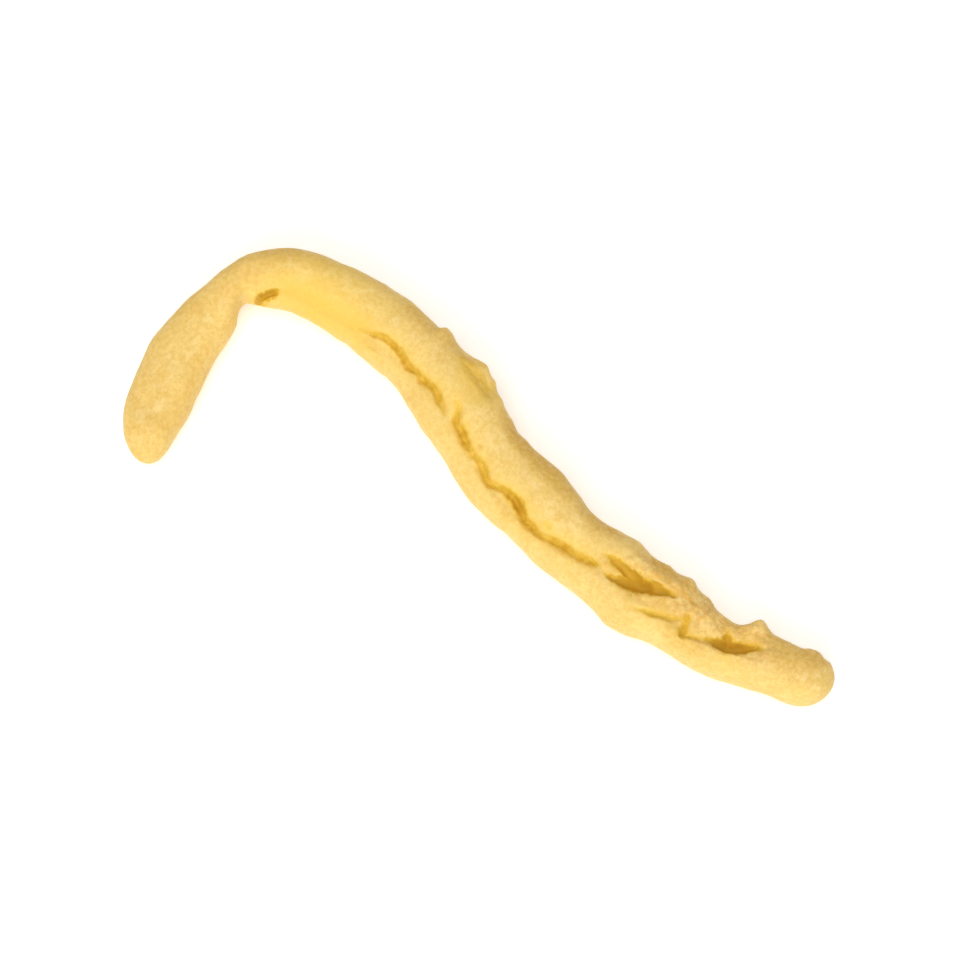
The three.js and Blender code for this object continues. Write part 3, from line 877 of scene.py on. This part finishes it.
softened = press.node("GeometryNodeBlurAttribute", {"data_type": "FLOAT_VECTOR"}, sockets)
sockets = {"Geometry": pressed, "Position": softened}
press.end(press.node("GeometryNodeSetPosition", None, sockets))
strand.data = press.make(strand)
print("strand with cracks, mm:", [round(side / MM, 2) for side in strand.dimensions])

# %% [markdown]
# ## Where the dough is torn or floury, and where shade is painted
#
# In some places the smooth skin is broken and the crumbly inside of the dough shows: round the
# hollow, on the crags and at the far corner. Others are pale with flour. Painted shade turns the
# far rims, the grooves and the torn hollows a light brown, and more painted shade darkens the
# deepest cracks inside. So each point of the noodle gets four numbers from 0 to 1, for later
# steps to read. They come from a few oval patches, placed along and across the strand, with
# their half length, half width and strength. Painting a mask by hand would look the same, but
# could not be repeated.

# %% Write down the torn patches
TORN_PATCHES = columns(
    "along across long wide share",
    (33.2, 2.3, 1.9, 0.8, 0.5),
    (36.2, 2.6, 1.2, 0.5, 0.5),
    (49.6, 0.0, 1.4, 1.1, 0.5),
    (52.3, 0.9, 2.6, 1.6, 0.8),
    (55.6, 1.2, 2.2, 1.8, 1.0),
    (58.0, 0.3, 1.8, 1.4, 0.8),
    (60.6, 0.6, 1.9, 1.5, 0.8),
    (65.4, 1.5, 1.4, 1.1, 0.6),
)
print("torn patches:", len(TORN_PATCHES["along"]))

# %% Write down the floury patches
FLOURY_PATCHES = columns(
    "along across long wide share",
    (33.2, 2.9, 1.1, 0.5, 1.0),
    (30.5, 0.6, 3.0, 1.0, 0.4),
    (4.5, 0.2, 4.0, 1.1, 0.8),
    (9.5, -0.5, 3.5, 0.8, 0.6),
    (22.0, 0.7, 6.0, 1.0, 0.9),
    (36.0, 0.8, 3.0, 1.2, 0.5),
    (44.0, 0.8, 4.0, 1.4, 0.6),
    (65.3, -0.3, 1.6, 1.2, 1.0),
)
print("floury patches:", len(FLOURY_PATCHES["along"]))

# %% Write down the patches of painted brown shade
# Each is painted shade in a warm brown. The small ones lie on the rims of the flap, of the crags
# and at two turns of the crack.
BROWN_SHADE_PATCHES = columns(
    "along across long wide share",
    (1.8, 0.2, 2.0, 1.4, 0.35),
    (5.5, 0.0, 6.0, 2.4, 0.22),
    (13.5, 0.9, 4.0, 1.8, 0.3),
    (17.0, 1.2, 3.0, 1.6, 0.3),
    (28.0, 2.1, 2.2, 0.8, 0.4),
    (32.7, 1.95, 2.0, 0.55, 1.0),
    (38.4, 2.1, 2.2, 0.8, 0.9),
    (41.5, -1.9, 1.5, 0.5, 0.35),
    (42.0, 2.1, 2.5, 0.85, 0.8),
    (46.5, 2.15, 2.2, 0.75, 0.7),
    (52.3, 2.3, 1.1, 0.4, 1.0),
    (55.1, 1.3, 0.6, 0.25, 1.0),
    (49.7, 0.1, 1.1, 0.5, 0.6),
    (53.6, 1.8, 1.7, 0.8, 0.7),
    (54.4, -0.3, 1.9, 0.8, 0.5),
    (56.4, -1.4, 1.8, 0.8, 0.55),
    (56.0, 0.7, 1.6, 0.9, 0.3),
    (59.5, 1.0, 1.6, 0.8, 0.4),
    (63.5, 0.8, 3.0, 1.2, 0.6),
    (63.0, -0.5, 3.0, 1.2, 0.2),
    (26.1, -2.0, 0.45, 0.15, 0.7),
    (37.2, -0.6, 0.3, 0.18, 0.7),
)
print("brown patches:", len(BROWN_SHADE_PATCHES["along"]))

# %% Write down where the cracks get more painted shade inside
# There the painted shade in them is darker than their depth alone gives.
CRACK_SHADE_PATCHES = columns(
    "along across long wide share",
    (15.8, -1.0, 1.9, 1.2, 0.9),
    (41.8, -1.1, 1.3, 0.6, 0.4),
    (44.4, -0.7, 0.6, 0.4, 0.6),
    (51.4, 0.2, 3.4, 1.6, 1.0),
    (56.6, -0.5, 1.8, 1.2, 0.4),
    (59.8, 0.1, 2.6, 1.5, 1.0),
)
print("dark patches:", len(CRACK_SHADE_PATCHES["along"]))

# %% Find where each point is on the strand
MIDDLE_STEP = 0.05


def points_of(mesh):
    """A mesh's points as an array in millimetres."""
    flat = np.empty(len(mesh.vertices) * 3, np.float32)
    mesh.vertices.foreach_get("co", flat)
    return flat.reshape(-1, 3).astype(float) / MM


def locate(points):
    """How far along the strand each point is, and how far left of its middle line."""
    along = np.arange(0, LENGTH, MIDDLE_STEP)
    x, y, left_x, left_y = middle(along)
    tree = KDTree(len(along))
    for i, spot in enumerate(zip(x, y)):
        tree.insert((*spot, 0), i)
    tree.balance()
    nearest = np.array([tree.find((px, py, 0))[1] for px, py, _ in points])
    dx = points[:, 0] - x[nearest]
    dy = points[:, 1] - y[nearest]
    return along[nearest], dx * left_x[nearest] + dy * left_y[nearest]


points = points_of(strand.data)
along, across = locate(points)
print("points reach across the strand, mm:", across.min().round(1), "to", across.max().round(1))

# %% Mark the patches on the points
# A patch is whole up to its core and gone past its edge, in shares of its half length and width.
# It is on the noodle's top alone: between these two heights, in millimetres, it fades in.
PATCH_CORE = 0.6
PATCH_EDGE = 1.3
TOP_FROM = 1.2
TOP_FULL = 2.2


def inside(patches, height):
    """The share of a patch that each point on the noodle's top has, from 0 to 1."""
    most = np.zeros(len(along))
    for at, side, long, wide, share in zip(*patches.values()):
        away = np.hypot((along - at) / long, (across - side) / wide)
        most = np.maximum(most, share * (1 - smooth_step(away, PATCH_CORE, PATCH_EDGE)))
    return most * smooth_step(height, TOP_FROM, TOP_FULL)


def give(mesh, name, values):
    """Gives each point of a mesh a named number."""
    mesh.attributes.new(name, "FLOAT", "POINT").data.foreach_set("value", values.astype(np.float32))


top = points[:, 2]
give(strand.data, "torn", inside(TORN_PATCHES, top))
give(strand.data, "floury", inside(FLOURY_PATCHES, top))
give(strand.data, "brown_shade", inside(BROWN_SHADE_PATCHES, top))
# A crack goes down into the noodle, so its patches of painted shade start that much lower, at the
# table.
give(strand.data, "extra_crack_shade", inside(CRACK_SHADE_PATCHES, top + TOP_FROM))
print("points that now carry the four numbers:", len(top))

# %% [markdown]
# ## The relief of the dried skin
#
# Drying leaves the skin slightly uneven, with soft dimples of 2 mm and a pebbled grain of half a
# millimetre. Where it is torn there is a rubble of little steps, with crumbs on it. A bump in
# the material could show all this, but not at the outline, so it is real geometry, and only the
# finest grain is left to the material. Almost all of it goes inwards, so the noodle doesn't grow
# past its size, and what would reach below the table is flattened onto it, as dough is where it
# dried.

# %% Name the sizes of the relief
# Where the noise is below Rubble Level a bit of the torn dough is missing, and above it a bit
# stands out. The rubble starts where torn and noise together reach Rubble From, and is full at
# Rubble Full.
relief = Recipe(
    "relief",
    {
        "Dimple Size": 2.2 * MM,
        "Dimple Depth": 0.08 * MM,
        "Grain Size": 0.5 * MM,
        "Grain Depth": 0.06 * MM,
        "Rubble Size": 0.9 * MM,
        "Rubble Depth": 0.5 * MM,
        "Rubble Level": 0.42,
        "Rubble From": 0.2,
        "Rubble Full": 0.8,
        "Crumb Size": 0.3 * MM,
        "Crumb Depth": 0.12 * MM,
        "Material": dough,
    },
)
print("relief inputs:", ", ".join(relief.values))

# %% Work out how deep the relief is
position = relief.node("GeometryNodeInputPosition")
normal = relief.node("GeometryNodeInputNormal")


def uneven_by(name, detail):
    """Noise as large as one of the relief's size inputs."""
    place = relief.vector("SCALE", position, 1 / relief.given(name))
    return relief.noise(place, 1, detail)


dimples = uneven_by("Dimple Size", 1.0) * relief.given("Dimple Depth")
grain = uneven_by("Grain Size", 3.0) * relief.given("Grain Depth")
rough = uneven_by("Rubble Size", 2.0)
missing = relief.given("Rubble Level") - rough
crumbly = uneven_by("Crumb Size", 1.0) * relief.given("Crumb Depth")
loose = relief.attribute("torn") + rough - 0.5
patchy = relief.span(loose, relief.given("Rubble From"), relief.given("Rubble Full"))
broken = (missing * relief.given("Rubble Depth") + crumbly) * patchy
depth = dimples + grain + broken
print("relief tree so far:", len(relief.tree.nodes), "nodes")

# %% Press the relief into the skin
offset = relief.vector("SCALE", normal, -1 * depth)
sockets = {"Geometry": relief.given("Geometry"), "Offset": offset}
moved = relief.node("GeometryNodeSetPosition", None, sockets)
position = relief.node("GeometryNodeInputPosition")
apart = relief.node("ShaderNodeSeparateXYZ", None, {"Vector": position})
height = relief.math("MAXIMUM", apart.also("Z"), 0.0)
level = relief.node("ShaderNodeCombineXYZ", None, {"X": apart, "Y": apart.also("Y"), "Z": height})
relief.end(relief.node("GeometryNodeSetPosition", None, {"Geometry": moved, "Position": level}))
strand.data = relief.make(strand)
strand.data.shade_smooth()
print("relief: box, mm:", [round(side / MM, 2) for side in strand.dimensions])

# %% [markdown]
# ## The dough
#
# Egg dough is a warm pale yellow. It is matt, a little translucent, and never quite even: it has
# cloudy patches, pale flour, darker specks and a few flecks of bran, and is brown with pale
# crumbs where it is torn. Painted shade makes it light brown on the far rims and a deep ochre
# down in the cracks, and a painted glow a clear yellow beside them. A painted picture would fit
# one side only. Noise and the numbers that the points carry colour every side, and as the noise
# reads Object coordinates, it stays on the dough.

# %% Name the dough's colours
SKIN_COLOUR = (0.90, 0.65, 0.22, 1)
WARM_COLOUR = (0.80, 0.525, 0.13, 1)
PALE_COLOUR = (0.95, 0.75, 0.33, 1)
BRAN_COLOUR = (0.62, 0.38, 0.12, 1)
TORN_COLOUR = (0.72, 0.42, 0.105, 1)
CRUMB_COLOUR = (0.87, 0.63, 0.24, 1)
# Painted shade: a warm brown on the far rims, in grooves and in torn hollows.
BROWN_SHADE_COLOUR = (0.68, 0.39, 0.06, 1)
# Painted light: the yellow glow beside the cracks, where light bounces and shines through.
PAINTED_GLOW_COLOUR = (0.85, 0.57, 0.085, 1)
# Painted shade down in the cracks, and the darkest of it where they are deepest.
CRACK_SHADE_COLOUR = (0.74, 0.475, 0.045, 1)
DEEP_CRACK_SHADE_COLOUR = (0.62, 0.35, 0.022, 1)
SPECK_COLOUR = (0.72, 0.47, 0.13, 1)
print("the skin is a mix of", SKIN_COLOUR[:3], "and", WARM_COLOUR[:3])

# %% Lay out the dough's patterns
# Each is noise between two limits. Limits far apart give soft clouds, and close ones clear spots.
CLOUD_SIZE = 1.6 * MM
MOTTLE_SIZE = 0.34 * MM
SPECK_SIZE = 0.16 * MM
FLOUR_SIZE = 0.8 * MM
CRUMB_SIZE = 0.4 * MM
BRAN_SPACING = 0.8 * MM
paint = Tree(dough.node_tree)
dough.node_tree.nodes.clear()
place_on = paint.node("ShaderNodeTexCoord").also("Object")
clouds = paint.span(paint.noise(place_on, CLOUD_SIZE, detail=3.0), 0.35, 0.65)
mottle = paint.span(paint.noise(place_on, MOTTLE_SIZE, detail=3.0, rough=0.6), 0.35, 0.68)
specks = paint.span(paint.noise(place_on, SPECK_SIZE), 0.5, 0.75)
flour = paint.span(paint.noise(place_on, FLOUR_SIZE), 0.5, 0.64)
crumbs = paint.span(paint.noise(place_on, CRUMB_SIZE, detail=3.0, rough=0.65), 0.38, 0.6)
bran = paint.span(paint.cells(place_on, BRAN_SPACING), 0.07, 0.03)
print("patterns:", len(dough.node_tree.nodes), "nodes")

# %% Mix the dough's colours
# Each line lays one colour over those before it. Its share says how much of it shows.


def colour_mix(tree, share, first, second):
    """A colour between two others."""
    sockets = {0: share, 6: first, 7: second}
    return tree.node("ShaderNodeMix", {"data_type": "RGBA"}, sockets, output=2)


def carried(name):
    """A number that the dough's points carry."""
    return paint.node("ShaderNodeAttribute", {"attribute_name": name}, None, "Fac")


torn = carried("torn")
# How much painted shade a crack gets: more where it is deeper, and more in its shade patches.
crack_shade = carried("deep") * (1 + carried("extra_crack_shade") * 1.5) * (0.7 + crumbs * 0.6)
layers = (
    (clouds * 0.4 + mottle * 0.6, WARM_COLOUR),
    (flour * (0.15 + carried("floury") * 0.5), PALE_COLOUR),
    (specks * 0.5, SPECK_COLOUR),
    (torn * 0.8, colour_mix(paint, crumbs, TORN_COLOUR, CRUMB_COLOUR)),
    # painted brown shade on the far rims, in grooves and in torn hollows
    (carried("brown_shade") * (0.5 + mottle * 0.5), BROWN_SHADE_COLOUR),
    (bran * 0.4, BRAN_COLOUR),
    # painted glow beside the cracks
    (carried("glow") * (0.85 - torn * 0.7), PAINTED_GLOW_COLOUR),
    # painted shade down in the cracks
    (paint.span(crack_shade, 0.1, 0.5), CRACK_SHADE_COLOUR),
    (paint.span(crack_shade, 0.35, 1.05), DEEP_CRACK_SHADE_COLOUR),
)
colour = SKIN_COLOUR
for share, over in layers:
    colour = colour_mix(paint, share, colour, over)
print("colours laid over the skin's:", len(layers))

# %% Give it its surface
GRAIN_SIZE = 0.16 * MM
GRAIN_BUMP = 0.03 * MM
fine = paint.noise(place_on, GRAIN_SIZE, detail=3.0, rough=0.6)
sockets = {"Height": fine, "Distance": GRAIN_BUMP, "Strength": 0.6}
bump = paint.node("ShaderNodeBump", None, sockets)
sockets = {
    "Base Color": colour,
    "Roughness": 0.55 + mottle * 0.12 + torn * 0.1,
    "Normal": bump,
    "IOR": 1.45,
    "Specular IOR Level": 0.4,
    "Subsurface Weight": 0.3,
    "Subsurface Radius": (1.0, 0.55, 0.18),
    "Subsurface Scale": 0.5 * MM,
}
surface = paint.node("ShaderNodeBsdfPrincipled", None, sockets)
paint.node("ShaderNodeOutputMaterial", None, {"Surface": surface})
print("dough material:", len(dough.node_tree.nodes), "nodes")

# %% [markdown]
# ## The table and the light
#
# The noodle lies on a plain white table. Soft light comes from the front, above and a little
# from the left, so the far edges fall into a gentle shade. The rest of the room is pale, a
# little brighter in front than behind. A picture of a real room could light it too, but two
# lamps and a plain room are easier to set.

# %% Lay the table
# It glows a little, so that it looks white and the shadow on it stays faint.
TABLE_RADIUS = 1.5
TABLE_SIDES = 96
TABLE_DROP = 0.02 * MM
TABLE_COLOUR = (0.92, 0.92, 0.92, 1)
TABLE_ROUGHNESS = 0.7
TABLE_GLOW = 0.27


def make_table():
    """A round plain table just below the noodle."""
    turn = np.arange(TABLE_SIDES) / TABLE_SIDES * math.tau
    ring = np.stack((np.cos(turn), np.sin(turn), 0 * turn), axis=-1) * TABLE_RADIUS / MM
    table = add_object("table", ring - (0, 0, TABLE_DROP / MM), [tuple(range(TABLE_SIDES))])
    white = bpy.data.materials.new("table_white")
    white.use_nodes = True
    shader = white.node_tree.nodes["Principled BSDF"]
    shader.inputs["Base Color"].default_value = TABLE_COLOUR
    shader.inputs["Roughness"].default_value = TABLE_ROUGHNESS
    shader.inputs["Emission Color"].default_value = (1, 1, 1, 1)
    shader.inputs["Emission Strength"].default_value = TABLE_GLOW
    table.data.materials.append(white)


make_table()
print("table, m across:", 2 * TABLE_RADIUS)

# %% Set the lights
# Each light's place and size in metres, what a white face shows of it, and its colour.
LIGHTS = {
    "front_light": ((-0.12, -0.42, 0.42), 0.35, 0.4, (1.0, 0.99, 0.97)),
    "top_light": ((-0.05, 0.0, 0.6), 0.4, 0.45, (1.0, 1.0, 1.0)),
}


def area_light(name, spot, size, brightness, colour):
    """A square soft light at a spot, turned to the noodle."""
    data = bpy.data.lights.new(name, "AREA")
    data.size = size
    distance = Vector(spot).length
    data.energy = brightness * math.pi**2 * distance**2
    data.color = colour
    light = bpy.data.objects.new(name, data)
    bpy.context.scene.collection.objects.link(light)
    light.location = spot
    light.rotation_euler = (-Vector(spot)).to_track_quat("-Z", "Y").to_euler()
    return light


for name, settings in LIGHTS.items():
    print(name, "watts:", round(area_light(name, *settings).data.energy, 2))

# %% Make the room pale
# Y is the direction of the light: -1 is straight in front of the noodle and 1 straight behind it.
FRONT_STRENGTH = 0.6
BACK_STRENGTH = 0.28
STRENGTH_SPAN = (-0.8, 0.8)
WARM_SPAN = (-0.2, 0.6)
FRONT_COLOUR = (1, 1, 1, 1)
BACK_COLOUR = (1, 0.92, 0.8, 1)


def make_room():
    """A pale room, brighter in front than behind."""
    room = bpy.data.worlds.new("room")
    room.use_nodes = True
    room.node_tree.nodes.clear()
    air = Tree(room.node_tree)
    way = air.node("ShaderNodeTexCoord").also("Generated")
    apart = air.node("ShaderNodeSeparateXYZ", None, {"Vector": way})
    strength = air.span(apart.also("Y"), *STRENGTH_SPAN, FRONT_STRENGTH, BACK_STRENGTH)
    behind = air.span(apart.also("Y"), *WARM_SPAN)
    warmth = colour_mix(air, behind, FRONT_COLOUR, BACK_COLOUR)
    sockets = {"Color": warmth, "Strength": strength}
    sky = air.node("ShaderNodeBackground", None, sockets)
    air.node("ShaderNodeOutputWorld", None, {"Surface": sky})
    bpy.context.scene.world = room


make_room()
bpy.context.scene.view_settings.view_transform = "Standard"
print("room:", len(bpy.context.scene.world.node_tree.nodes), "nodes")

# %% [markdown]
# ## Handing the noodle over
#
# The fixed model could be dressed with small pieces that lie over it. This noodle is one piece of
# dough, so the one made here takes the place of the fixed model's node and rides on its one body.

# %% Put the noodle in its place
noodle = strand
noodle.name = "noodle_dough"
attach(noodle, "root")
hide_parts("noodle")
print("noodle:", len(noodle.data.polygons), "faces")
